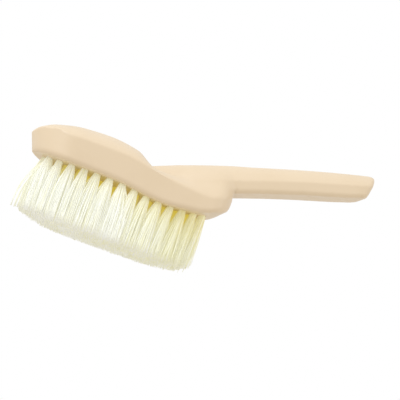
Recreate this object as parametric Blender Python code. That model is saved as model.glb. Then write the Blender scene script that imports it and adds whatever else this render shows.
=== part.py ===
"""Oval hand brush with a curved handle: one moulded block and handle, and staple-set bristle tufts.

A Blender 4.5 script, in metres with +Z up. The brush stands on its bristle tips at z = 0, its nose
towards -X and its handle towards +X. Lengths along the brush are measured from the nose's tip.
"""

import math

import bmesh
import bpy
from mathutils import Matrix, Vector

# Block
TRIM = 0.0363  # bristle tips to the block's underside
HEAD_LENGTH = 0.1300
HEAD_WIDTH = 0.0515
NOSE_LENGTH = 0.0300  # rounded stretch of the outline at the nose
HEEL_LENGTH = 0.0150  # and at the heel
NOSE_ROUNDNESS = 2.1  # exponents of the outline's two ends
HEEL_ROUNDNESS = 2.3
NOSE_UNDERCUT = 0.38  # slope by which the nose's face draws in downwards
NOSE_BROW = 0.012  # length over which the crown curves down at the nose
HEEL_BROW = 0.014  # and at the heel
EDGE_RADIUS = 0.003  # round along the block's lower edge
SIDE_DRAFT = 0.0008  # each side leans in by this much from bottom to shoulder line
CROWN_ACROSS = 2.0  # exponents of the crowned tops, across the brush
HEAD_CROWN_UP = 1.3  # and upwards: 2 for an ellipse, and less for a plainer edge to the side
HANDLE_CROWN_UP = 1.15

# Heights above the mean underside, as (share of the head's length, height)
UNDERSIDE = ((0, 0.0018), (0.17, -0.0003), (0.42, -0.0008), (0.66, -0.0039), (0.84, -0.0015),
             (0.92, 0.0024), (0.975, 0.0062), (1, 0.0118))
SHOULDER = ((0, 0.0130), (0.03, 0.0156), (0.09, 0.0164), (0.17, 0.0153), (0.42, 0.0156), (0.66, 0.0110),
            (0.85, 0.0092), (1, 0.0150))
CROWN = ((0, 0.0166), (0.09, 0.0219), (0.22, 0.0262), (0.36, 0.0273), (0.49, 0.0252), (0.60, 0.0172),
         (0.80, 0.0215), (1, 0.0350))

# Handle
HANDLE_REACH = 0.0847  # from the heel to the handle's end
HANDLE_START = 0.040  # how far before the heel its root begins inside the head
HANDLE_SLOPE = 23.1  # degrees of rise at its root
HANDLE_DROOP = 0.0098  # and how far the far end bends back from that line
HANDLE_CLEAR = 0.0212  # height of that line above the mean underside, at the heel
HANDLE_WIDTH_ROOT = 0.0300
HANDLE_WIDTH_END = 0.0280
HANDLE_SIDE_ROOT = 0.0078  # height of its upright side
HANDLE_SIDE_END = 0.0084
HANDLE_DOME = ((0, 0.0138), (0.25, 0.0124), (0.4, 0.0111), (1, 0.0091))  # of the crowned top above that
HANDLE_EDGE_RADIUS = 0.003
ROOT_OVERLAP = 0.002  # the head reaches this far into the handle
BLEND_MIDDLE = 0.010  # fillet between the head and the handle, halfway along the root
BLEND_START = 0.001  # where the root begins
BLEND_HEEL = 0.003  # and at the heel
HEEL_MEET = 0.0005  # the rings part this far below the handle where the heel's end meets it
RIDGE_RUN = 0.040  # length over which that line moves out to the handle's lower edge
END_ROUND = 0.0045  # rounded stretch at the handle's end
END_CORNER = 0.0045  # how far each side curves in there
END_DIP = 0.0020  # the top down
END_LIFT = 0.0005  # and the bottom up
END_SLANT = 0.22  # slope by which the end draws in downwards
END_SLANT_LENGTH = 0.025
FADE = 1.5  # exponent by which the slants and the trim's rise set in

# Tufts
NOSE_MARGIN = 0.0105  # block left outside the outermost holes
HEEL_MARGIN = 0.0110
SIDE_MARGIN = 0.0040
TUFT_RADIUS = 0.0021  # where the filaments are gathered in the hole
HOLE_CLEARANCE = 0.0003  # all round the gathered filaments
HOLE_DEPTH = 0.0100
RING_SPACING = 0.0088  # between the rings of tufts
FIELD_ROUNDNESS = 2.5  # exponent of the rings' outline
OUTER_TUFTS = 30
MIDDLE_TUFTS = 21
CENTRE_TUFTS = 8
FILAMENTS = 8  # strands that stand for each tuft's filaments
STRAND_SHARE = 0.62  # of its sector that a strand fills at its tip
STRAND_INSIDE = 0.42  # of the tip radius, where its inner corner lies
TIP_RADIUS = 0.0038  # of the spread tuft
FLARE_SIDE = 0.0045  # how far the edge tufts lean out at their tips
FLARE_NOSE = -0.0005  # and the same along the brush, at its two ends
FLARE_HEEL = -0.0018
NOSE_TRIM_RISE = 0.0031  # the nose's tips are trimmed higher by this much
HEEL_TRIM_RISE = 0.0042  # and the heel's
LEVEL_TRIM = 0.4  # share of the field's half length that is trimmed level each way
FLAT_CUT = 0.0005  # depth of the flat on which the tips stand
STRAND_START = 0.0004  # the strands part this far below the underside
ANCHOR_HEIGHT = 0.0018  # flat staple across the fold of each tuft
ANCHOR_BITE = 0.0005  # how far each of its ends stands out of the tuft
HOLE_MOUTH = 0.004  # the holes' cutter reaches this far below the underside

# Finishes, with linear colours
PLASTIC_COLOUR = (0.79, 0.64, 0.45)
PLASTIC_ROUGHNESS = 0.5
BRISTLE_COLOUR = (0.84, 0.82, 0.66)
BRISTLE_ROUGHNESS = 0.45

# Fineness of the faceted surfaces
RING_POINTS = 64
END_STATIONS = 9
HEAD_STATIONS = 15
HANDLE_STATIONS = 9
HANDLE_END_STATIONS = 5
CREASE_ANGLE = 35  # degrees, beyond which an edge is drawn sharp
RAYS = 120  # directions in which each ring's half outline is found
HALVINGS = 24  # steps of that search
DEEP_INSIDE = 0.3  # share of a dome's size within which its distance needs no slope
OVAL_STEPS = 720  # points on the ovals along which the tufts are spaced
SMALLEST = 0.00015  # where a rounded end stops and its flat begins

TOTAL_LENGTH = HEAD_LENGTH + HANDLE_REACH


def smooth_through(points, share):
    """Height at a share of the length, on a smooth curve through the points that doesn't overshoot them."""
    slopes = [(b[1] - a[1]) / (b[0] - a[0]) for a, b in zip(points, points[1:])]
    tangents = [slopes[0]]
    for before, after in zip(slopes, slopes[1:]):
        tangents.append(2 * before * after / (before + after) if before * after > 0 else 0.0)
    tangents.append(slopes[-1])
    share = min(max(share, points[0][0]), points[-1][0])
    index = max(i for i in range(len(slopes)) if points[i][0] <= share)
    low, high = points[index], points[index + 1]
    width = high[0] - low[0]
    t = (share - low[0]) / width
    start = (2 * t**3 - 3 * t**2 + 1) * low[1] + (t**3 - 2 * t**2 + t) * width * tangents[index]
    end = (3 * t**2 - 2 * t**3) * high[1] + (t**3 - t**2) * width * tangents[index + 1]
    return start + end


def mix(a, b, share):
    return a + (b - a) * share


def round_off(left, length, exponent):
    """Share of the full size where this much is left before a rounded end of a length."""
    into = 1 - min(max(left, SMALLEST) / length, 1.0)
    return (1 - into**exponent) ** (1 / exponent)


def underside(x):
    return TRIM + smooth_through(UNDERSIDE, x / HEAD_LENGTH)


def handle_share(x):
    """Share of the way from the handle's root to its end."""
    start = HEAD_LENGTH - HANDLE_START
    return max(0.0, (x - start) / (TOTAL_LENGTH - start))


def handle_bottom(x):
    rise = math.tan(math.radians(HANDLE_SLOPE)) * (x - HEAD_LENGTH)
    return TRIM + HANDLE_CLEAR + rise - HANDLE_DROOP * handle_share(x) ** 2


def head_section(x):
    """Half width, bottom, shoulder, crown, edge radius and the crown's exponent of the head at x."""
    left = HEAD_LENGTH - x
    half = HEAD_WIDTH / 2 * round_off(x, NOSE_LENGTH, NOSE_ROUNDNESS)
    half *= round_off(left, HEEL_LENGTH, HEEL_ROUNDNESS)
    shoulder = TRIM + smooth_through(SHOULDER, x / HEAD_LENGTH)
    dome = TRIM + smooth_through(CROWN, x / HEAD_LENGTH) - shoulder
    dome *= round_off(x, NOSE_BROW, 2) * round_off(left, HEEL_BROW, 2)
    crown = max(shoulder + dome, handle_bottom(x) + ROOT_OVERLAP)
    return half, underside(x), shoulder, crown, EDGE_RADIUS, HEAD_CROWN_UP


def handle_section(x):
    """The same for the handle, whose bottom stays inside the head there."""
    share = handle_share(x)
    end = max(0.0, (x - TOTAL_LENGTH + END_ROUND) / END_ROUND)
    arc = 1 - math.sqrt(1 - min(end, 1.0) ** 2)
    half = mix(HANDLE_WIDTH_ROOT, HANDLE_WIDTH_END, share) / 2 - END_CORNER * arc
    side = mix(HANDLE_SIDE_ROOT, HANDLE_SIDE_END, share)
    bottom = max(handle_bottom(x), underside(x) + ROOT_OVERLAP)
    crown = handle_bottom(x) + side + smooth_through(HANDLE_DOME, share) - END_DIP * arc
    return half, bottom + END_LIFT * arc, bottom + side, crown, HANDLE_EDGE_RADIUS, HANDLE_CROWN_UP


def distance(section, y, z):
    """How far a point lies outside a section, negative inside."""
    half, bottom, shoulder, crown, radius, power = section
    if z > shoulder:
        half -= SIDE_DRAFT * min(1.0, half / HEAD_WIDTH)
        across = abs(y) / half
        up = (z - shoulder) / (crown - shoulder)
        mean = (CROWN_ACROSS + power) / 2
        size = (across**CROWN_ACROSS + up**power) ** (1 / mean)
        if size < DEEP_INSIDE:
            return (DEEP_INSIDE - 1) * min(half, crown - shoulder)
        slope_y = CROWN_ACROSS * across ** (CROWN_ACROSS - 1) / half
        slope_z = power * up ** (power - 1) / (crown - shoulder)
        return (size - 1) * mean * size ** (mean - 1) / math.hypot(slope_y, slope_z)
    half -= SIDE_DRAFT * min(1.0, half / HEAD_WIDTH) * max(0.0, z - bottom) / (shoulder - bottom)
    radius = min(radius, half, shoulder - bottom)
    out_y = abs(y) - (half - radius)
    out_z = bottom + radius - z
    corner = math.hypot(max(out_y, 0.0), max(out_z, 0.0))
    return corner + min(max(out_y, out_z), 0.0) - radius


def blended(a, b, fillet):
    """The nearer of two distances, with a fillet where they are alike."""
    share = min(max(0.5 + (b - a) / (2 * fillet), 0.0), 1.0)
    return mix(b, a, share) - fillet * share * (1 - share)


def half_outline(x):
    """Points from bottom to top up one side of the block at x, found outwards from a middle inside it."""
    in_head = x <= HEAD_LENGTH
    in_handle = x >= HEAD_LENGTH - HANDLE_START - NOSE_LENGTH
    head = head_section(x) if in_head else None
    handle = handle_section(x) if in_handle else None
    along_root = min(max((x - HEAD_LENGTH + HANDLE_START) / HANDLE_START, 0.0), 1.0)
    least = BLEND_START if along_root < 0.5 else BLEND_HEEL
    fillet = mix(least, BLEND_MIDDLE, math.sin(math.pi * along_root))
    if in_head:
        middle = (head[1] + head[2]) / 2
    if in_handle:
        upper = (handle[1] + handle[3]) / 2
        lift = min(max((x - HEAD_LENGTH + HEEL_LENGTH) / HEEL_LENGTH, 0.0), 1.0)
        middle = mix(middle, upper, lift) if in_head else upper
    points = []
    for index in range(RAYS + 1):
        angle = math.pi * (index / RAYS - 0.5)
        near, far = 0.0, HEAD_WIDTH
        for _ in range(HALVINGS):
            reach = (near + far) / 2
            y, z = reach * math.cos(angle), middle + reach * math.sin(angle)
            if in_head and in_handle:
                outside = blended(distance(head, y, z), distance(handle, y, z), fillet)
            else:
                outside = distance(head or handle, y, z)
            near, far = (reach, far) if outside < 0 else (near, reach)
        points.append((near * math.cos(angle), middle + near * math.sin(angle)))
    return points


def evenly_spaced(points, count):
    """The same line as count steps of equal length."""
    lengths = [0.0]
    for (ay, az), (by, bz) in zip(points, points[1:]):
        lengths.append(lengths[-1] + math.hypot(by - ay, bz - az))
    spaced = []
    index = 0
    for step in range(count + 1):
        wanted = lengths[-1] * step / count
        while index < len(points) - 2 and lengths[index + 1] < wanted:
            index += 1
        share = (wanted - lengths[index]) / (lengths[index + 1] - lengths[index])
        (ay, az), (by, bz) = points[index], points[index + 1]
        spaced.append((mix(ay, by, share), mix(az, bz, share)))
    return spaced


def crossing(outline, side, limit):
    """Where an outline first passes a limit in y (side 0) or in z (side 1)."""
    index = next(i for i, point in enumerate(outline) if point[side] > limit)
    before, after = outline[index - 1], outline[index]
    share = (limit - before[side]) / (after[side] - before[side])
    return index, (mix(before[0], after[0], share), mix(before[1], after[1], share))


def head_ridge(x, outline):
    toward_heel = 1 - min((HEAD_LENGTH - x) / HEEL_LENGTH, 1.0)
    return crossing(outline, 1, mix(head_section(x)[2], handle_bottom(x) - HEEL_MEET, toward_heel))


def ridge(x, outline):
    """The line that parts a ring in two: the head's shoulder, then the handle's lower edge.

    From the heel's end wall it moves out to that edge along the handle's flat underside.
    """
    if x <= HEAD_LENGTH:
        return head_ridge(x, outline)
    start = head_ridge(HEAD_LENGTH, half_outline(HEAD_LENGTH))[1][0]
    edge = handle_section(x)[0] - HANDLE_EDGE_RADIUS
    return crossing(outline, 0, mix(start, edge, min((x - HEAD_LENGTH) / RIDGE_RUN, 1.0)))


def ring(x):
    """Points round the block at x, as (y, z), the same on both sides and with one on each ridge."""
    outline = half_outline(x)
    index, middle = ridge(x, outline)
    lower = evenly_spaced(outline[:index] + [middle], RING_POINTS // 4)
    upper = evenly_spaced([middle] + outline[index:], RING_POINTS // 4)
    side = lower + upper[1:]
    return side + [(-y, z) for y, z in side[-2:0:-1]]


def rounding(length, count):
    """Distances still to go to a rounded end, from its whole length down to nothing."""
    return [length * (1 - math.sin(math.pi / 2 * i / count)) for i in range(count + 1)]


def stations():
    """Distances from the nose at which the block's rings lie, closer together at its ends."""
    nose = rounding(NOSE_LENGTH, END_STATIONS)[::-1]
    middle_length = HEAD_LENGTH - HEEL_LENGTH - NOSE_LENGTH
    middle = [NOSE_LENGTH + middle_length * i / HEAD_STATIONS for i in range(1, HEAD_STATIONS)]
    heel = [HEAD_LENGTH - left for left in rounding(HEEL_LENGTH, END_STATIONS)]
    run = HANDLE_REACH - END_ROUND
    handle = [HEAD_LENGTH + SMALLEST + run * i / HANDLE_STATIONS for i in range(HANDLE_STATIONS)]
    end = [TOTAL_LENGTH - left for left in rounding(END_ROUND, HANDLE_END_STATIONS)]
    return nose + middle + heel + handle + end


def on_brush(x, y, z):
    """A point in the brush's own frame, with the origin at the middle of its length."""
    return Vector((x - TOTAL_LENGTH / 2, y, z))


def material(name, colour, roughness):
    made = bpy.data.materials.new(name)
    made.use_nodes = True
    shader = made.node_tree.nodes["Principled BSDF"]
    shader.inputs["Base Color"].default_value = (*colour, 1)
    shader.inputs["Roughness"].default_value = roughness
    shader.inputs["Metallic"].default_value = 0
    return made


def add_object(name, work, surface):
    mesh = bpy.data.meshes.new(name)
    bmesh.ops.recalc_face_normals(work, faces=work.faces)
    work.to_mesh(mesh)
    work.free()
    made = bpy.data.objects.new(name, mesh)
    bpy.context.scene.collection.objects.link(made)
    if surface:
        mesh.materials.append(surface)
    return made


def make_block(surface):
    """The head and the handle in one loft."""
    work = bmesh.new()
    loops = []
    for x in stations():
        points = ring(x)
        top = max(z for _, z in points)
        nose = NOSE_UNDERCUT * max(0.0, 1 - x / NOSE_LENGTH) ** FADE
        end = END_SLANT * max(0.0, 1 - (TOTAL_LENGTH - x) / END_SLANT_LENGTH) ** FADE
        loops.append([work.verts.new(on_brush(x + (nose - end) * (top - z), y, z)) for y, z in points])
    for one, other in zip(loops, loops[1:]):
        for i in range(RING_POINTS):
            j = (i + 1) % RING_POINTS
            work.faces.new((one[i], one[j], other[j], other[i]))
    work.faces.new(loops[0])
    work.faces.new(loops[-1])
    bmesh.ops.triangulate(work, faces=[face for face in work.faces if len(face.verts) == 4])
    block = add_object("handle_block", work, surface)
    block.data.shade_smooth()
    block.data.set_sharp_from_angle(angle=math.radians(CREASE_ANGLE))
    return block


def evenly_round(half_length, half_across, count):
    """Points spaced evenly round a ring of tufts, from the middle of the field."""
    bend = 2 / FIELD_ROUNDNESS
    curve = []
    for i in range(OVAL_STEPS + 1):
        turn = 2 * math.pi * i / OVAL_STEPS
        along, across = -math.cos(turn), math.sin(turn)
        along = half_length * math.copysign(abs(along) ** bend, along)
        across = half_across * math.copysign(abs(across) ** bend, across)
        curve.append((along, across))
    return evenly_spaced(curve, count)[:-1]


def tuft_places():
    """Names of the tufts, with their roots on the underside and the middles of their tips."""
    inset = TUFT_RADIUS + HOLE_CLEARANCE
    low = NOSE_MARGIN + inset
    high = HEAD_LENGTH - HEEL_MARGIN - inset
    middle, half_length = (low + high) / 2, (high - low) / 2
    half_across = HEAD_WIDTH / 2 - SIDE_MARGIN - inset
    rings = []
    for name, count, step in (("outer", OUTER_TUFTS, 0), ("middle", MIDDLE_TUFTS, 1)):
        a, b = half_length - step * RING_SPACING, half_across - step * RING_SPACING
        rings += [(name, k, along, across) for k, (along, across) in enumerate(evenly_round(a, b, count))]
    reach = half_length - 2 * RING_SPACING
    rings += [("centre", k, mix(-reach, reach, k / (CENTRE_TUFTS - 1)), 0.0) for k in range(CENTRE_TUFTS)]
    places = []
    for name, k, along, across in rings:
        u, v = along / half_length, across / half_across
        root = Vector((middle + along, across, underside(middle + along)))
        lean = mix(-FLARE_NOSE, FLARE_HEEL, (u + 1) / 2)
        tip = Vector((root.x + lean, across + FLARE_SIDE * v, 0.0))
        places.append((f"tuft_{name}_{k + 1:02d}", on_brush(*root), on_brush(*tip), u))
    return places


def tip_height(u):
    """Height of the trim at a share of the field's half length: level, and rising towards both ends."""
    rise = NOSE_TRIM_RISE if u < 0 else HEEL_TRIM_RISE
    beyond = max(0.0, abs(u) - LEVEL_TRIM) / (1 - LEVEL_TRIM)
    return max(0.0, rise * beyond**FADE - FLAT_CUT)


def turned_row(work, radius, bite, z):
    """One ring of points round the tuft, the two that face sideways standing out by the staple's bite."""
    row = []
    for i in range(FILAMENTS):
        turn = 2 * math.pi * i / FILAMENTS
        reach = radius + bite * (i in (FILAMENTS // 4, 3 * FILAMENTS // 4))
        row.append(work.verts.new((reach * math.cos(turn), reach * math.sin(turn), z)))
    return row


def gathered(work, clearance, below):
    """The stretch of a tuft inside its hole, along local Z with the hole's mouth at z = 0.

    Near its inner end the ends of the staple stand out at both sides. Returns the ring at its mouth.
    """
    radius = TUFT_RADIUS + clearance
    inner = HOLE_DEPTH + clearance
    shape = ((-below, 0), (inner - ANCHOR_HEIGHT, 0), (inner - ANCHOR_HEIGHT / 2, ANCHOR_BITE), (inner, 0))
    rows = [turned_row(work, radius, bite, z) for z, bite in shape]
    for one, other in zip(rows, rows[1:]):
        for i in range(FILAMENTS):
            j = (i + 1) % FILAMENTS
            work.faces.new((one[i], one[j], other[j], other[i]))
    work.faces.new(rows[-1])
    return rows[0]


def hole_frame(root, tip):
    """Axes of a tuft: local Z runs up its hole, local X along the brush."""
    up = (root - tip).normalized()
    across = up.cross(Vector((1, 0, 0))).normalized()
    along = across.cross(up)
    frame = Matrix((along, across, up)).transposed().to_4x4()
    frame.translation = root
    return frame


def make_tuft(name, root, tip, u, surface):
    """One tuft: gathered in its hole, with strands that spread from its mouth to the level trim."""
    frame = hole_frame(root, tip)
    back = frame.inverted()
    work = bmesh.new()
    mouth = gathered(work, 0.0, STRAND_START)
    hub = work.verts.new((0, 0, -STRAND_START))
    level = tip_height(u)
    for i in range(FILAMENTS):
        base = (hub, mouth[i], mouth[(i + 1) % FILAMENTS])
        middle = 2 * math.pi * (i + 0.5) / FILAMENTS
        spread = STRAND_SHARE * math.pi / FILAMENTS
        ends = []
        for turn, reach in ((middle, STRAND_INSIDE), (middle - spread, 1), (middle + spread, 1)):
            reach *= TIP_RADIUS
            end = Vector((tip.x + reach * math.cos(turn), tip.y + reach * math.sin(turn), level))
            ends.append(work.verts.new(back @ end))
        for j in range(3):
            k = (j + 1) % 3
            work.faces.new((base[j], base[k], ends[k], ends[j]))
        work.faces.new(ends)
    bmesh.ops.triangulate(work, faces=[face for face in work.faces if len(face.verts) == 4])
    tuft = add_object(name, work, surface)
    tuft.matrix_world = frame
    return tuft


def make_holes(places):
    """Cutter for every tuft's hole, with clearance all round the gathered stretch and its staple."""
    work = bmesh.new()
    for _, root, tip, _ in places:
        one = bmesh.new()
        one.faces.new(gathered(one, HOLE_CLEARANCE, HOLE_MOUTH))
        one.transform(hole_frame(root, tip))
        mesh = bpy.data.meshes.new("hole")
        one.to_mesh(mesh)
        one.free()
        work.from_mesh(mesh)
        bpy.data.meshes.remove(mesh)
    holes = add_object("tuft_holes", work, None)
    holes.hide_render = True
    holes.display_type = "WIRE"
    return holes


def main():
    for old in list(bpy.context.scene.objects):
        bpy.data.objects.remove(old, do_unlink=True)
    plastic = material("moulded plastic", PLASTIC_COLOUR, PLASTIC_ROUGHNESS)
    bristle = material("bristle", BRISTLE_COLOUR, BRISTLE_ROUGHNESS)
    brush = bpy.data.objects.new("brush", None)
    bpy.context.scene.collection.objects.link(brush)
    places = tuft_places()
    block = make_block(plastic)
    block.parent = brush
    holes = make_holes(places)
    holes.parent = brush
    drill = block.modifiers.new("tuft holes", "BOOLEAN")
    drill.operation = "DIFFERENCE"
    drill.object = holes
    for name, root, tip, u in places:
        make_tuft(name, root, tip, u, bristle).parent = brush


main()
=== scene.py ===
# Carpet brush: the finish of its moulded block and its bristles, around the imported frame.
# Metres throughout. X runs from the nose to the handle's end, Z up from the bristle tips.

import math

import bmesh
import bpy
import numpy as np
from mathutils import Matrix, Vector


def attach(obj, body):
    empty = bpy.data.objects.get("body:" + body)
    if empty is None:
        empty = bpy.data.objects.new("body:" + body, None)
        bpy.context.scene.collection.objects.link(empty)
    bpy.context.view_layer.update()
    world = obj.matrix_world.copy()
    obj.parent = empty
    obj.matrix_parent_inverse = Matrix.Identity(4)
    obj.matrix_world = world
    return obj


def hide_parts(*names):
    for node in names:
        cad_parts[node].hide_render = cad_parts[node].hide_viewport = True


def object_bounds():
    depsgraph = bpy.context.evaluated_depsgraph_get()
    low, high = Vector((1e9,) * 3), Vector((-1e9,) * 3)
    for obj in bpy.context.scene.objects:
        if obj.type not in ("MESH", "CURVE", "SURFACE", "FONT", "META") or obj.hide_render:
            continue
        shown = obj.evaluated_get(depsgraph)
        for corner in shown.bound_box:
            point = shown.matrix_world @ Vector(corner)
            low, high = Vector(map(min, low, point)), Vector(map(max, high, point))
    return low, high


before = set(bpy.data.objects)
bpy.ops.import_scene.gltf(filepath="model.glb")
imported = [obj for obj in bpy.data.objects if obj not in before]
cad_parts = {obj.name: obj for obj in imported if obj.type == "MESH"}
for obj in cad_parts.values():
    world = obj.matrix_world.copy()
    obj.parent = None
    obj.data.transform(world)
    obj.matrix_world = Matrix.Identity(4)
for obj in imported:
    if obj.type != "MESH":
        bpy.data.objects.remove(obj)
cadLow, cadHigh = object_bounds()
print("frame loaded:", len(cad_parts), "nodes")


# Camera, at the photograph's viewing angle and roll

cameraSet = {
    "azimuth": -9.97,  # degrees round the brush
    "elevation": -11.12,
    "roll": 18.80,
    "distance": 0.75671,
    "lens": 109.307,
    "noseToTarget": 0.1117,  # the point it looks at, along the brush
    "targetHeight": 0.04699,
}


def makeCamera():
    azimuth, elevation = math.radians(cameraSet["azimuth"]), math.radians(cameraSet["elevation"])
    roll = math.radians(cameraSet["roll"])
    back = Vector((math.sin(azimuth) * math.cos(elevation), -math.cos(azimuth) * math.cos(elevation),
                   math.sin(elevation)))
    right = Vector((math.cos(azimuth), math.sin(azimuth), 0))
    up = back.cross(right)
    turnedRight = right * math.cos(roll) + up * math.sin(roll)
    turnedUp = up * math.cos(roll) - right * math.sin(roll)
    target = Vector((cadLow.x + cameraSet["noseToTarget"], 0, cameraSet["targetHeight"]))
    data = bpy.data.cameras.new("camera")
    data.lens = cameraSet["lens"]
    camera = bpy.data.objects.new("camera", data)
    camera.matrix_world = Matrix((turnedRight, turnedUp, back)).transposed().to_4x4()
    camera.location = target + back * cameraSet["distance"]
    bpy.context.scene.collection.objects.link(camera)
    bpy.context.scene.camera = camera


# Nodes

def addNode(tree, kind, inputs=None, **settings):
    made = tree.nodes.new(kind)
    for name, value in settings.items():
        setattr(made, name, value)
    for name, value in (inputs or {}).items():
        if isinstance(value, bpy.types.NodeSocket):
            tree.links.new(value, made.inputs[name])
        else:
            made.inputs[name].default_value = value
    return made


def newMaterial(name):
    made = bpy.data.materials.new(name)
    made.use_nodes = True
    return made, made.node_tree, made.node_tree.nodes["Principled BSDF"]


def noiseAt(tree, place, scale, detail, roughness=0.5):
    return addNode(tree, "ShaderNodeTexNoise",
                   {"Vector": place, "Scale": scale, "Detail": detail, "Roughness": roughness}).outputs["Fac"]


def stretched(tree, place, scale):
    return addNode(tree, "ShaderNodeMapping", {"Vector": place, "Scale": scale}).outputs["Vector"]


def mapped(tree, value, fromLow, fromHigh, toLow, toHigh):
    return addNode(tree, "ShaderNodeMapRange", {"Value": value, "From Min": fromLow, "From Max": fromHigh,
                                                "To Min": toLow, "To Max": toHigh}).outputs["Result"]


def mixedColour(tree, share, one, other):
    made = addNode(tree, "ShaderNodeMix", data_type="RGBA")
    # the mix node's colour sockets share their names with its other kinds, so they go by number
    for socket, value in ((made.inputs[0], share), (made.inputs[6], one), (made.inputs[7], other)):
        if isinstance(value, bpy.types.NodeSocket):
            tree.links.new(value, socket)
        elif isinstance(value, tuple):
            socket.default_value = (*value, 1)
        else:
            socket.default_value = value
    return made.outputs[2]


# Setting: a white world, a pale floor that shows only from above, soft lamps

lightSet = {
    "worldLevel": 0.84,  # from the horizon up
    "worldBelow": 0.78,
    "tintBelow": (1.0, 0.96, 0.89),  # light that comes up from the floor is slightly warm
    "tintFull": -0.5,  # height of the direction at which it has its full tint
    "floorColour": (0.96, 0.96, 0.96),
    "floorRoughness": 0.9,
    "floorSize": 3.0,
    "floorDrop": 0.0004,  # clear of the bristle tips
    "keyPlace": (-1.0, -0.5, 0.9),
    "keySize": 1.0,
    "keyPower": 9.0,
    "keyColour": (0.92, 1.0, 1.12),
    "fillPlace": (1.2, -0.6, 0.7),
    "fillSize": 0.8,
    "fillPower": 2.0,
    "fillColour": (1.0, 1.0, 1.0),
}


def makeWorld():
    world = bpy.data.worlds.new("white room")
    world.use_nodes = True
    tree = world.node_tree
    tree.nodes.clear()
    way = addNode(tree, "ShaderNodeTexCoord").outputs["Generated"]
    height = addNode(tree, "ShaderNodeSeparateXYZ", {"Vector": way}).outputs["Z"]
    level = mapped(tree, height, -1, 0, lightSet["worldBelow"], lightSet["worldLevel"])
    seen = addNode(tree, "ShaderNodeLightPath").outputs["Is Camera Ray"]  # the backdrop itself is plain white
    strength = addNode(tree, "ShaderNodeMix", {"Factor": seen, "A": level, "B": 1.0}).outputs["Result"]
    warm = mapped(tree, height, lightSet["tintFull"], 0, 1, 0)
    tint = mixedColour(tree, warm, (1, 1, 1), lightSet["tintBelow"])
    colour = mixedColour(tree, seen, tint, (1, 1, 1))
    background = addNode(tree, "ShaderNodeBackground", {"Strength": strength, "Color": colour})
    output = addNode(tree, "ShaderNodeOutputWorld")
    tree.links.new(background.outputs["Background"], output.inputs["Surface"])
    bpy.context.scene.world = world


def makeFloor():
    work = bmesh.new()
    bmesh.ops.create_grid(work, x_segments=1, y_segments=1, size=lightSet["floorSize"] / 2)
    mesh = bpy.data.meshes.new("floor")
    work.to_mesh(mesh)
    work.free()
    floor = bpy.data.objects.new("floor", mesh)
    floor.location.z = -lightSet["floorDrop"]
    bpy.context.scene.collection.objects.link(floor)
    material, tree, shader = newMaterial("pale floor")
    shader.inputs["Base Color"].default_value = (*lightSet["floorColour"], 1)
    shader.inputs["Roughness"].default_value = lightSet["floorRoughness"]
    shader.inputs["Specular IOR Level"].default_value = 0
    # only the camera sees the floor, and only from above, so light reaches the trimmed ends from below
    behind = addNode(tree, "ShaderNodeNewGeometry").outputs["Backfacing"]
    camera = addNode(tree, "ShaderNodeLightPath").outputs["Is Camera Ray"]
    front = addNode(tree, "ShaderNodeMath", {0: camera, 1: behind}, operation="SUBTRACT", use_clamp=True)
    clear = addNode(tree, "ShaderNodeBsdfTransparent")
    choice = addNode(tree, "ShaderNodeMixShader", {"Fac": front.outputs["Value"], 1: clear.outputs["BSDF"],
                                                   2: shader.outputs["BSDF"]})
    tree.links.new(choice.outputs["Shader"], tree.nodes["Material Output"].inputs["Surface"])
    mesh.materials.append(material)


def makeLamp(name, place, size, power, colour):
    data = bpy.data.lights.new(name, "AREA")
    data.energy = power
    data.size = size
    data.color = colour
    lamp = bpy.data.objects.new(name, data)
    lamp.location = place
    middle = (cadLow + cadHigh) / 2
    lamp.rotation_euler = (middle - Vector(place)).to_track_quat("-Z", "Y").to_euler()
    bpy.context.scene.collection.objects.link(lamp)


def makeSetting():
    bpy.context.scene.view_settings.view_transform = "Standard"
    makeWorld()
    makeFloor()
    for name in ("key", "fill"):
        makeLamp(name + " lamp", *(lightSet[name + part] for part in ("Place", "Size", "Power", "Colour")))
    print("camera, world, floor and lamps")


# Moulded block: the same outline as the solid's, on a finer surface

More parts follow.
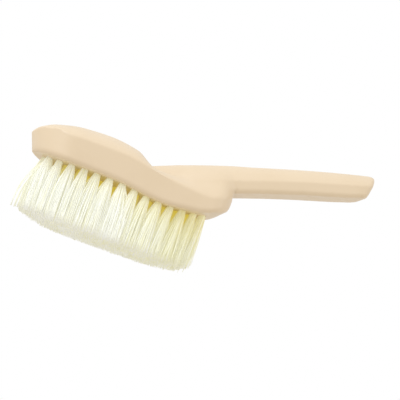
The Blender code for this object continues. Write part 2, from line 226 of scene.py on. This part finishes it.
blockSet = {
    "trim": 0.0363,  # bristle tips to the underside
    "headLength": 0.1300,
    "headWidth": 0.0515,
    "noseLength": 0.0300,  # over which the plan rounds in
    "heelLength": 0.0150,
    "noseRoundness": 2.1,
    "heelRoundness": 2.3,
    "noseUndercut": 0.38,  # set-back of the nose's foot, as a share of the height above it
    "noseBrow": 0.012,  # length over which the crown rises
    "heelBrow": 0.014,
    "browRoundness": 2,
    "edgeRadius": 0.003,
    "sideDraft": 0.0008,  # the sides lean in by this up to the shoulder
    "crownAcross": 2.0,  # exponents of the crowned tops, across the brush
    "headCrownUp": 1.3,  # and upwards: lower has a plainer edge to the side
    "handleCrownUp": 1.15,
    # the head's curves, as shares of its length and heights above the trim
    "underside": ((0, 0.0018), (0.17, -0.0003), (0.42, -0.0008), (0.66, -0.0039), (0.84, -0.0015),
                  (0.92, 0.0024), (0.975, 0.0062), (1, 0.0118)),
    "shoulder": ((0, 0.0130), (0.03, 0.0156), (0.09, 0.0164), (0.17, 0.0153), (0.42, 0.0156), (0.66, 0.0110),
                 (0.85, 0.0092), (1, 0.0150)),
    "crown": ((0, 0.0166), (0.09, 0.0219), (0.22, 0.0262), (0.36, 0.0273), (0.49, 0.0252), (0.60, 0.0172),
              (0.80, 0.0215), (1, 0.0350)),
    "handleReach": 0.0847,  # beyond the head
    "handleStart": 0.040,  # inside it
    "handleSlope": 23.1,  # degrees where it starts, less towards its end
    "handleDroop": 0.0098,  # how much lower that lets its end lie
    "handleClear": 0.0212,  # its underside above the trim, at the heel and before the droop
    "handleWidth": (0.0300, 0.0280),  # at its root and at its end
    "handleSide": (0.0078, 0.0084),  # height of its upright sides
    "handleDome": ((0, 0.0138), (0.25, 0.0124), (0.4, 0.0111), (1, 0.0091)),
    "handleEdge": 0.003,
    "rootOverlap": 0.002,
    "blendMiddle": 0.010,  # radii where the head and the handle meet
    "blendStart": 0.001,
    "blendHeel": 0.003,
    "heelMeet": 0.0005,  # the shoulder's line ends this far under the handle
    "ridgeRun": 0.04,  # and moves out to the handle's edge over this length
    "endRound": 0.0045,  # length, and what it takes off each side, the top and the underside
    "endCorner": 0.0045,
    "endDip": 0.0020,
    "endLift": 0.0005,
    "endSlant": 0.22,  # set-back of the end's foot, like the nose's
    "endSlantLength": 0.025,
    "fade": 1.5,  # exponent with which both set-backs die away
    "smallest": 0.00003,  # where a rounded end stops and its flat begins
    "ringPoints": 160,  # a multiple of four
    "endStations": 22,
    "headStations": 44,
    "handleStations": 26,
    "handleEndStations": 12,
    "rays": 240,  # directions in which a half outline is found
    "halvings": 24,  # and steps in which each is narrowed down
    "deepInside": 0.3,  # share of a dome, from its middle, that counts as equally deep
    "tiny": 1e-9,  # keeps a division safe
    "sharpAngle": 35,  # degrees
}
totalLength = blockSet["headLength"] + blockSet["handleReach"]


def mixed(pair, share):
    return pair[0] + (pair[1] - pair[0]) * share


def smoothThrough(points, share):
    slopes = [(b[1] - a[1]) / (b[0] - a[0]) for a, b in zip(points, points[1:])]
    tangents = [slopes[0]]
    for before, after in zip(slopes, slopes[1:]):
        tangents.append(2 * before * after / (before + after) if before * after > 0 else 0.0)
    tangents.append(slopes[-1])
    share = min(max(share, points[0][0]), points[-1][0])
    index = max(i for i in range(len(slopes)) if points[i][0] <= share)
    low, high = points[index], points[index + 1]
    width = high[0] - low[0]
    t = (share - low[0]) / width
    start = (2 * t**3 - 3 * t**2 + 1) * low[1] + (t**3 - 2 * t**2 + t) * width * tangents[index]
    return start + (3 * t**2 - 2 * t**3) * high[1] + (t**3 - t**2) * width * tangents[index + 1]


def roundOff(left, length, exponent):
    into = 1 - min(max(left, blockSet["smallest"]) / length, 1.0)
    return (1 - into**exponent) ** (1 / exponent)


def undersideAt(x):
    return blockSet["trim"] + smoothThrough(blockSet["underside"], x / blockSet["headLength"])


def handleShare(x):
    start = blockSet["headLength"] - blockSet["handleStart"]
    return max(0.0, (x - start) / (totalLength - start))


def handleBottom(x):
    b = blockSet
    rise = math.tan(math.radians(b["handleSlope"])) * (x - b["headLength"])
    return b["trim"] + b["handleClear"] + rise - b["handleDroop"] * handleShare(x) ** 2


def headSection(x):
    # half width, bottom, shoulder, crown, edge radius and crown's exponent of the head,
    # which reaches into the handle
    b = blockSet
    share, left = x / b["headLength"], b["headLength"] - x
    half = b["headWidth"] / 2 * roundOff(x, b["noseLength"], b["noseRoundness"])
    half *= roundOff(left, b["heelLength"], b["heelRoundness"])
    shoulder = b["trim"] + smoothThrough(b["shoulder"], share)
    dome = b["trim"] + smoothThrough(b["crown"], share) - shoulder
    dome *= roundOff(x, b["noseBrow"], b["browRoundness"]) * roundOff(left, b["heelBrow"], b["browRoundness"])
    crown = max(shoulder + dome, handleBottom(x) + b["rootOverlap"])
    return half, undersideAt(x), shoulder, crown, b["edgeRadius"], b["headCrownUp"]


def handleSection(x):
    # the same of the handle
    b = blockSet
    share = handleShare(x)
    arc = 1 - math.sqrt(1 - min(max(0.0, (x - totalLength + b["endRound"]) / b["endRound"]), 1.0) ** 2)
    bottom = max(handleBottom(x), undersideAt(x) + b["rootOverlap"])
    side, dome = mixed(b["handleSide"], share), smoothThrough(b["handleDome"], share)
    shoulder, crown = bottom + side, handleBottom(x) + side + dome - b["endDip"] * arc
    half = mixed(b["handleWidth"], share) / 2 - b["endCorner"] * arc
    return half, bottom + b["endLift"] * arc, shoulder, crown, b["handleEdge"], b["handleCrownUp"]


def outsideBy(section, y, z):
    # how far points lie outside a section, negative inside
    b = blockSet
    half, bottom, shoulder, crown, radius, power = section
    draft = b["sideDraft"] * min(1.0, half / b["headWidth"])
    high, wide = crown - shoulder, half - draft
    across, up = np.abs(y) / wide, np.maximum(z - shoulder, 0) / high
    flat = b["crownAcross"]
    mean = (flat + power) / 2
    size = (across**flat + up**power) ** (1 / mean)
    slope = np.hypot(flat * across ** (flat - 1) / wide, power * up ** (power - 1) / high)
    dome = (size - 1) * mean * np.maximum(size, b["tiny"]) ** (mean - 1) / np.maximum(slope, b["tiny"])
    dome = np.where(size < b["deepInside"], (b["deepInside"] - 1) * min(wide, high), dome)
    sideHalf = half - draft * np.maximum(0.0, z - bottom) / (shoulder - bottom)
    corner = np.minimum(np.minimum(radius, sideHalf), shoulder - bottom)
    outY, outZ = np.abs(y) - (sideHalf - corner), bottom + corner - z
    side = np.hypot(np.maximum(outY, 0), np.maximum(outZ, 0)) + np.minimum(np.maximum(outY, outZ), 0) - corner
    return np.where(z > shoulder, dome, side)


def halfOutline(x):
    # one side of the block from bottom to top, found outwards from a middle inside it
    b = blockSet
    inHead, inHandle = x <= b["headLength"], x >= b["headLength"] - b["handleStart"] - b["noseLength"]
    head = headSection(x) if inHead else None
    handle = handleSection(x) if inHandle else None
    alongRoot = min(max((x - b["headLength"] + b["handleStart"]) / b["handleStart"], 0.0), 1.0)
    least = b["blendStart"] if alongRoot < 0.5 else b["blendHeel"]
    fillet = mixed((least, b["blendMiddle"]), math.sin(math.pi * alongRoot))
    if inHead:
        middle = (head[1] + head[2]) / 2
    if inHandle:
        upper = (handle[1] + handle[3]) / 2
        lift = min(max((x - b["headLength"] + b["heelLength"]) / b["heelLength"], 0.0), 1.0)
        middle = mixed((middle, upper), lift) if inHead else upper
    angles = math.pi * (np.arange(b["rays"] + 1) / b["rays"] - 0.5)
    near, far = np.zeros(len(angles)), np.full(len(angles), b["headWidth"])
    for _ in range(b["halvings"]):
        reach = (near + far) / 2
        y, z = reach * np.cos(angles), middle + reach * np.sin(angles)
        if inHead and inHandle:
            one, other = outsideBy(head, y, z), outsideBy(handle, y, z)
            share = np.clip(0.5 + (other - one) / (2 * fillet), 0, 1)
            outside = other + (one - other) * share - fillet * share * (1 - share)
        else:
            outside = outsideBy(head or handle, y, z)
        near, far = np.where(outside < 0, reach, near), np.where(outside < 0, far, reach)
    return np.stack([near * np.cos(angles), middle + near * np.sin(angles)], 1)


def evenlySpaced(points, count):
    lengths = np.concatenate([[0], np.cumsum(np.linalg.norm(np.diff(points, axis=0), axis=1))])
    wanted = np.linspace(0, lengths[-1], count + 1)
    return np.stack([np.interp(wanted, lengths, points[:, i]) for i in range(points.shape[1])], 1)


def crossing(outline, column, limit):
    # where an outline first passes a limit
    index = int(np.argmax(outline[:, column] > limit))
    before, after = outline[index - 1], outline[index]
    return index, before + (after - before) * (limit - before[column]) / (after[column] - before[column])


def headRidge(x, outline):
    b = blockSet
    towardHeel = 1 - min((b["headLength"] - x) / b["heelLength"], 1.0)
    return crossing(outline, 1, mixed((headSection(x)[2], handleBottom(x) - b["heelMeet"]), towardHeel))


def ridge(x, outline):
    # what parts a ring in two: the shoulder on the head, and under the handle a line that starts
    # at the heel's wall
    b = blockSet
    if x <= b["headLength"]:
        return headRidge(x, outline)
    start = headRidge(b["headLength"], halfOutline(b["headLength"]))[1][0]
    share = min((x - b["headLength"]) / b["ridgeRun"], 1.0)
    return crossing(outline, 0, mixed((start, handleSection(x)[0] - b["handleEdge"]), share))


def blockRing(x):
    outline = halfOutline(x)
    index, middle = ridge(x, outline)
    quarter = blockSet["ringPoints"] // 4
    lower = evenlySpaced(np.vstack([outline[:index], middle]), quarter)
    upper = evenlySpaced(np.vstack([middle, outline[index:]]), quarter)
    side = np.vstack([lower, upper[1:]])
    return np.vstack([side, side[-2:0:-1] * (-1, 1)])


def roundingSteps(length, count):
    return [length * (1 - math.sin(math.pi / 2 * i / count)) for i in range(count + 1)]


def blockStations():
    b = blockSet
    nose = roundingSteps(b["noseLength"], b["endStations"])[::-1]
    middle = b["headLength"] - b["heelLength"] - b["noseLength"]
    head = [b["noseLength"] + middle * i / b["headStations"] for i in range(1, b["headStations"])]
    heel = [b["headLength"] - left for left in roundingSteps(b["heelLength"], b["endStations"])]
    start, run, steps = b["headLength"] + b["smallest"], b["handleReach"] - b["endRound"], b["handleStations"]
    handle = [start + run * i / steps for i in range(steps)]
    end = [totalLength - left for left in roundingSteps(b["endRound"], b["handleEndStations"])]
    return nose + head + heel + handle + end


def newObject(name, work):
    mesh = bpy.data.meshes.new(name)
    bmesh.ops.recalc_face_normals(work, faces=work.faces)
    work.to_mesh(mesh)
    work.free()
    made = bpy.data.objects.new(name, mesh)
    bpy.context.scene.collection.objects.link(made)
    return made


def makeBlock():
    b = blockSet
    work = bmesh.new()
    loops = []
    for x in blockStations():
        ring = blockRing(x)
        top = ring[:, 1].max()
        nose = b["noseUndercut"] * max(0.0, 1 - x / b["noseLength"]) ** b["fade"]
        end = b["endSlant"] * max(0.0, 1 - (totalLength - x) / b["endSlantLength"]) ** b["fade"]
        places = [(cadLow.x + x + (nose - end) * (top - z), y, z) for y, z in ring]
        loops.append([work.verts.new(place) for place in places])
    count = b["ringPoints"]
    for one, other in zip(loops, loops[1:]):
        for i in range(count):
            j = (i + 1) % count
            work.faces.new((one[i], one[j], other[j], other[i]))
    work.faces.new(loops[0])
    work.faces.new(loops[-1])
    block = newObject("moulded_block", work)
    print("block surface:", len(block.data.polygons), "faces")
    return block


# Tuft holes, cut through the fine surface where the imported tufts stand

holeSet = {
    "radius": 0.0024,
    "depth": 0.0103,
    "mouthRadius": 0.0028,  # a light countersink
    "mouthDepth": 0.0004,
    "below": 0.004,
    "sides": 28,
    "tuftInHole": 0.0100,  # length of a packed tuft above the underside
    "innerBand": 0.00065,  # points this near its top are its inner end
    "tipBand": 0.006,  # and points this near the floor its tips
}


def tuftAxes():
    # name, root on the underside, middle of the tips and direction of each packed tuft
    axes = []
    for name in sorted(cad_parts):
        if not name.startswith("tuft_"):
            continue
        points = np.array([v.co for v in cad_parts[name].data.vertices])
        inner = points[points[:, 2] > points[:, 2].max() - holeSet["innerBand"]].mean(0)
        tips = points[points[:, 2] < holeSet["tipBand"]].mean(0)
        down = (tips - inner) / np.linalg.norm(tips - inner)
        axes.append((name, inner + down * holeSet["tuftInHole"], tips, down))
    return axes


def holeFrame(root, down):
    up = Vector(-down)
    across = up.cross(Vector((1, 0, 0))).normalized()
    made = Matrix((across.cross(up), across, up)).transposed().to_4x4()
    made.translation = Vector(root)
    return made


def cutHoles(block, axes):
    h = holeSet
    shape = ((h["mouthRadius"] + h["below"], -h["below"]), (h["mouthRadius"], 0),
             (h["radius"], h["mouthDepth"]), (h["radius"], h["depth"]))
    work = bmesh.new()
    for _, root, _, down in axes:
        place = holeFrame(root, down)
        rows = []
        for radius, height in shape:
            turns = [2 * math.pi * i / h["sides"] for i in range(h["sides"])]
            ring = [Vector((radius * math.cos(turn), radius * math.sin(turn), height)) for turn in turns]
            rows.append([work.verts.new(place @ point) for point in ring])
        for one, other in zip(rows, rows[1:]):
            for i in range(h["sides"]):
                j = (i + 1) % h["sides"]
                work.faces.new((one[i], one[j], other[j], other[i]))
        work.faces.new(rows[0])
        work.faces.new(rows[-1])
    cutter = newObject("hole_cutter", work)
    drill = block.modifiers.new("tuft holes", "BOOLEAN")
    drill.operation = "DIFFERENCE"
    drill.solver = "EXACT"
    drill.use_self = False
    drill.object = cutter
    graph = bpy.context.evaluated_depsgraph_get()
    cut = bpy.data.meshes.new_from_object(block.evaluated_get(graph))
    block.modifiers.clear()
    old, block.data = block.data, cut
    bpy.data.meshes.remove(old)
    bpy.data.objects.remove(cutter)
    block.data.shade_smooth()
    block.data.set_sharp_from_angle(angle=math.radians(blockSet["sharpAngle"]))
    print("block with holes:", len(block.data.polygons), "faces")


# Plastic

plasticSet = {
    "colour": (0.78, 0.615, 0.415),
    "paleColour": (0.84, 0.69, 0.50),
    "deepColour": (0.70, 0.54, 0.34),
    "roughness": (0.34, 0.48),
    "specular": 0.75,
    "flow": (16, 2.0),  # scale and detail of each pattern
    "mottle": (55, 5.0, 0.6),  # and its roughness
    "worn": (165, 4.0),
    "waves": (110, 2.0),
    "grain": (1400, 2.0),
    "flowStretch": (0.35, 1.0, 1.0),
    "flowPale": (0.35, 0.65, 0.0, 0.35),  # from and to values of a pattern, then the shares they give
    "mottleDeep": (0.45, 0.75, 0.0, 0.25),
    "wornRange": (0.3, 0.7),
    "wavesOverGrain": 3.0,
    "bumpDepth": 0.00002,
    "bumpStrength": 0.6,
}


def plasticMaterial():
    p = plasticSet
    material, tree, shader = newMaterial("beige moulded plastic")
    place = addNode(tree, "ShaderNodeTexCoord").outputs["Object"]
    flow = noiseAt(tree, stretched(tree, place, p["flowStretch"]), *p["flow"])
    mottle = noiseAt(tree, place, *p["mottle"])
    colour = mixedColour(tree, mapped(tree, flow, *p["flowPale"]), p["colour"], p["paleColour"])
    colour = mixedColour(tree, mapped(tree, mottle, *p["mottleDeep"]), colour, p["deepColour"])
    tree.links.new(colour, shader.inputs["Base Color"])
    worn = noiseAt(tree, place, *p["worn"])
    tree.links.new(mapped(tree, worn, *p["wornRange"], *p["roughness"]), shader.inputs["Roughness"])
    grain = noiseAt(tree, place, *p["grain"])
    waves = noiseAt(tree, place, *p["waves"])
    height = addNode(tree, "ShaderNodeMath", {0: waves, 1: p["wavesOverGrain"], 2: grain},
                     operation="MULTIPLY_ADD")
    bump = addNode(tree, "ShaderNodeBump", {"Height": height.outputs["Value"], "Distance": p["bumpDepth"],
                                            "Strength": p["bumpStrength"]})
    tree.links.new(bump.outputs["Normal"], shader.inputs["Normal"])
    shader.inputs["Specular IOR Level"].default_value = p["specular"]
    return material


# Bristles: every filament of every tuft

bristleSet = {
    "tuftRadius": 0.0021,
    "filaments": 125,
    "filamentRadius": 0.00017,
    "thickness": (0.9, 1.1),  # thinnest and thickest filament, as shares of that
    "sides": 5,
    "startInHole": 0.006,  # a filament's inner end
    "mouthInHole": 0.0005,  # and its first ring after that
    "rings": 8,  # from the root to the tip
    "tipRadius": (0.0058, 0.0049),  # pairs are for the nose and for the heel
    "spreadPower": (3.4, 1.15),  # the nose's tufts close up sooner
    "unevenTips": (0.0003, 0.0013),
    "tone": (0.10, 0.80),  # from pale at the nose to warm at the heel: painted shade, as the heel half gets less light
    "tuftTone": 0.14,  # how much the tone differs between tufts
    "filamentTone": 0.28,  # and between filaments
    "rootShadeDepth": 0.9,  # painted shade: how deep the gold painted near the roots is
    "rootShadeRun": (0.30, 0.65),  # how far down it reaches
    "rootShadeHold": 1.2,  # above 1, it keeps its full depth for a while
    "outerRootShade": (0.16, 0.28),  # share of that painted root shade that the outer row shows
    "tuftDifference": 0.15,  # how much one tuft's spread differs from the next
    "firstTurn": 6.28,  # a tuft's pattern starts anywhere round it
    "loosePacking": 0.03,
    "tipScatter": 0.0004,
    "waviness": 0.00035,
    "strayShare": 0.03,  # filaments that spread further than the rest
    "strayReach": 0.0016,
    "widest": 0.0283,  # no tip lies further from the middle line
    "lean": 0.0016,  # the tips lie this much nearer the nose, less in its own half
    "noseMargin": 0.0129,  # nose to the field's first root
    "heelMargin": 0.0134,
    "noseRise": 0.0031,  # of the trim, above its level middle
    "heelRise": 0.0042,
    "mostRise": 1.3,
    "level": 0.4,  # share of the field, from its middle, that is level
    "flatCut": 0.0005,
    "fade": 1.5,
    "seed": 7000,
}
bentTips = {  # tips of single filaments that stand off, measured from the nose
    "tuft_outer_30": ((0.0030, -0.0085, 0.0018), (0.0033, -0.0080, 0.0022), (0.0054, -0.0078, 0.0020),
                      (0.0050, -0.0090, 0.0016)),
    "tuft_outer_01": ((0.0034, -0.0040, 0.0026), (0.0058, -0.0035, 0.0028)),
}
bentSet = {
    "power": 2.2,  # they run straighter than their tuft
    "thickness": 1.5,
    "tone": 0.6,
}
looseTuft = {
    "name": "tuft_outer_24",  # a fuller, paler tuft that leans towards the heel
    "spread": 1.45,
    "lean": -0.0020,
    "tone": -0.3,
}
bristleTones = {
    "pale": (0.98, 0.985, 0.955),
    "warm": (0.90, 0.885, 0.67),
    # painted shade: the gold that inner filaments get near their roots, for light that reaches them only
    # through many filaments
    "paintedRootShade": (0.80, 0.72, 0.28),
    "paintedRootGlow": (0.80, 0.66, 0.06),
    "roughness": (0.40, 0.55),
    "paintedGlow": 0.28,  # painted light: an emission that stands for the light that passes through the clear filaments
    "paintedGlowDark": 0.57,  # how much less of that painted glow there is away from the painted root shade
    "streaks": (900, 2.0),  # scale and detail
    "streakStretch": (1, 1, 0.06),
    "streakWarm": (0.35, 0.7, 0, 0.35),
    "streakRange": (0.3, 0.7),
    "bumpDepth": 0.00002,
    "bumpStrength": 0.4,
}


def fieldShare(x):
    # from -1 at the nose's tufts to 1 at the heel's
    low = cadLow.x + bristleSet["noseMargin"]
    high = cadLow.x + blockSet["headLength"] - bristleSet["heelMargin"]
    return (2 * x - low - high) / (high - low)


def trimHeight(x):
    s = bristleSet
    share = fieldShare(x)
    rise = np.where(share < 0, s["noseRise"], s["heelRise"])
    beyond = np.maximum(0, np.abs(share) - s["level"]) / (1 - s["level"])
    return np.maximum(0, rise * np.minimum(beyond, s["mostRise"]) ** s["fade"] - s["flatCut"])


def alongField(pair, x):
    # a value between its setting at the nose and at the heel
    return mixed(pair, (fieldShare(x) + 1) / 2)


def filamentLines(rng, name, root, tips, down):
    # an array of filaments x rings x 3, from inside the hole to the trimmed tip
    s = bristleSet
    count = s["filaments"]
    loose = name == looseTuft["name"]
    bent = bentTips.get(name, ())
    power = np.full((count, 1), alongField(s["spreadPower"], root[0]))
    power[:len(bent)] = bentSet["power"]
    # the golden angle spreads them evenly over a disc
    turn = np.arange(count) * math.pi * (3 - math.sqrt(5)) + rng.uniform(0, s["firstTurn"])
    reach = np.sqrt((np.arange(count) + 0.5) / count)
    disc = np.stack([reach * np.cos(turn), reach * np.sin(turn)], 1)
    disc += rng.normal(0, s["loosePacking"], (count, 2))
    place = np.array(holeFrame(root, down))
    along, across = place[:3, 0], place[:3, 1]
    gathered = disc * (s["tuftRadius"] - s["filamentRadius"])
    tipRadius = alongField(s["tipRadius"], root[0]) * (1 + rng.normal(0, s["tuftDifference"]))
    if loose:
        tipRadius *= looseTuft["spread"]
    spread = disc * tipRadius + rng.normal(0, s["tipScatter"], (count, 2))
    stray = rng.uniform(0, 1, count) < s["strayShare"]
    spread += stray[:, None] * rng.normal(0, s["strayReach"], (count, 2))
    bend = rng.normal(0, s["waviness"], (count, 2))
    lean = s["lean"] * np.clip(fieldShare(root[0]) + 1, 0, 1)
    tipX = tips[0] + spread[:, 0] - (looseTuft["lean"] if loose else lean)
    tipY = np.clip(tips[1] + spread[:, 1], -s["widest"], s["widest"])
    tipZ = trimHeight(tipX) + rng.normal(0, alongField(s["unevenTips"], root[0]), count)
    tipZ = np.maximum(tipZ, 0)
    ends = np.stack([tipX, tipY, tipZ], 1)
    for number, tip in enumerate(bent):
        ends[number] = tip[0] + cadLow.x, tip[1], tip[2]
    start = root + gathered[:, :1] * along + gathered[:, 1:] * across
    outwards = ends - (tips + (start - root))
    lines = [start - down * s["startInHole"], start - down * s["mouthInHole"]]
    for t in np.linspace(0, 1, s["rings"])[1:]:
        quick = 1 - (1 - t) ** power
        ahead = start + (tips - root) * t
        point = ahead + outwards * quick * np.array([1, 1, 0]) + outwards * t * np.array([0, 0, 1])
        wave = math.sin(math.pi * t) * bend
        lines.append(point + wave[:, :1] * along + wave[:, 1:] * across)
    return np.stack(lines, 1)


def tubeMesh(name, lines, radius, sides, place, tones, paintedRootShades):
    # closed tubes round every line, all in one mesh, with a tone for each and its painted root shade from
    # root to tip
    count, rings = lines.shape[:2]
    turns = 2 * math.pi * np.arange(sides) / sides
    along, across = place[:3, 0], place[:3, 1]
    circle = np.cos(turns)[:, None] * along + np.sin(turns)[:, None] * across
    points = lines[:, :, None, :] + radius[:, None, None, None] * circle
    index = np.arange(count * rings * sides).reshape(count, rings, sides)
    nextIndex = np.roll(index, -1, axis=2)
    quads = np.stack([index[:, :-1], nextIndex[:, :-1], nextIndex[:, 1:], index[:, 1:]], -1).reshape(-1, 4)
    caps = np.concatenate([index[:, 0, ::-1], index[:, -1]])
    mesh = bpy.data.meshes.new(name)
    mesh.vertices.add(points.size // 3)
    mesh.vertices.foreach_set("co", points.astype(np.float32).ravel())
    corners = np.concatenate([quads.ravel(), caps.ravel()]).astype(np.int32)
    mesh.loops.add(len(corners))
    mesh.loops.foreach_set("vertex_index", corners)
    starts = np.concatenate([np.arange(len(quads)) * 4, len(quads) * 4 + np.arange(len(caps)) * sides])
    mesh.polygons.add(len(starts))
    mesh.polygons.foreach_set("loop_start", starts.astype(np.int32))
    smooth = np.concatenate([np.ones(len(quads), bool), np.zeros(len(caps), bool)])
    mesh.polygons.foreach_set("use_smooth", smooth)
    for label, values in (("tone", np.repeat(tones, rings * sides)),
                          ("paintedRootShade", np.tile(np.repeat(paintedRootShades, sides), count))):
        mesh.attributes.new(label, "FLOAT", "POINT").data.foreach_set("value", values.astype(np.float32))
    mesh.update(calc_edges=True)
    mesh.validate()
    made = bpy.data.objects.new(name, mesh)
    bpy.context.scene.collection.objects.link(made)
    return made


def bristleMaterial():
    t = bristleTones
    material, tree, shader = newMaterial("nylon bristle")
    tone = addNode(tree, "ShaderNodeAttribute", attribute_name="tone").outputs["Fac"]
    paintedRootShade = addNode(tree, "ShaderNodeAttribute", attribute_name="paintedRootShade").outputs["Fac"]
    place = addNode(tree, "ShaderNodeTexCoord").outputs["Object"]
    streaks = noiseAt(tree, stretched(tree, place, t["streakStretch"]), *t["streaks"])
    colour = mixedColour(tree, tone, t["pale"], t["warm"])
    colour = mixedColour(tree, mapped(tree, streaks, *t["streakWarm"]), colour, t["warm"])
    # painted shade: gold towards the roots of the inner rows
    colour = mixedColour(tree, paintedRootShade, colour, t["paintedRootShade"])
    tree.links.new(colour, shader.inputs["Base Color"])
    tree.links.new(mapped(tree, streaks, *t["streakRange"], *t["roughness"]), shader.inputs["Roughness"])
    bump = addNode(tree, "ShaderNodeBump", {"Height": streaks, "Distance": t["bumpDepth"],
                                            "Strength": t["bumpStrength"]})
    tree.links.new(bump.outputs["Normal"], shader.inputs["Normal"])
    # painted light: the filaments glow with a dimmed copy of their colour, and with gold where the root shade
    # is painted
    paintedGlow = mixedColour(tree, paintedRootShade, mixedColour(tree, t["paintedGlowDark"], colour, (0, 0, 0)), t["paintedRootGlow"])
    tree.links.new(paintedGlow, shader.inputs["Emission Color"])
    shader.inputs["Emission Strength"].default_value = t["paintedGlow"]
    return material


def makeBristles(axes):
    s = bristleSet
    material = bristleMaterial()
    faces = 0
    for number, (name, root, tips, down) in enumerate(axes):
        rng = np.random.default_rng(s["seed"] + number)
        lines = filamentLines(rng, name, root, tips, down)
        radius = s["filamentRadius"] * rng.uniform(*s["thickness"], len(lines))
        # painted shade: tufts towards the heel get a warmer, darker tone
        middle = alongField(s["tone"], root[0]) + rng.normal(0, s["tuftTone"])
        if name == looseTuft["name"]:
            middle += looseTuft["tone"]
        tones = np.clip(rng.normal(middle, s["filamentTone"], len(lines)), 0, 1)
        bent = len(bentTips.get(name, ()))
        radius[:bent] *= bentSet["thickness"]
        tones[:bent] = bentSet["tone"]
        # painted root shade: full near the root, fading further down, weaker on the outer row
        run = np.linspace(0, 1, lines.shape[1]) / alongField(s["rootShadeRun"], root[0])
        paintedRootShades = s["rootShadeDepth"] * np.clip(s["rootShadeHold"] - run, 0, 1)
        if "outer" in name:
            paintedRootShades *= alongField(s["outerRootShade"], root[0])
        place = np.array(holeFrame(root, down))
        made = tubeMesh(name + "_filaments", lines, radius, s["sides"], place, tones, paintedRootShades)
        made.data.materials.append(material)
        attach(made, "root")
        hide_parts(name)
        faces += len(made.data.polygons)
    print("bristles:", faces, "faces")


makeCamera()
makeSetting()
axes = tuftAxes()
block = makeBlock()
cutHoles(block, axes)
block.data.materials.clear()
block.data.materials.append(plasticMaterial())
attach(block, "root")
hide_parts("handle_block")
makeBristles(axes)
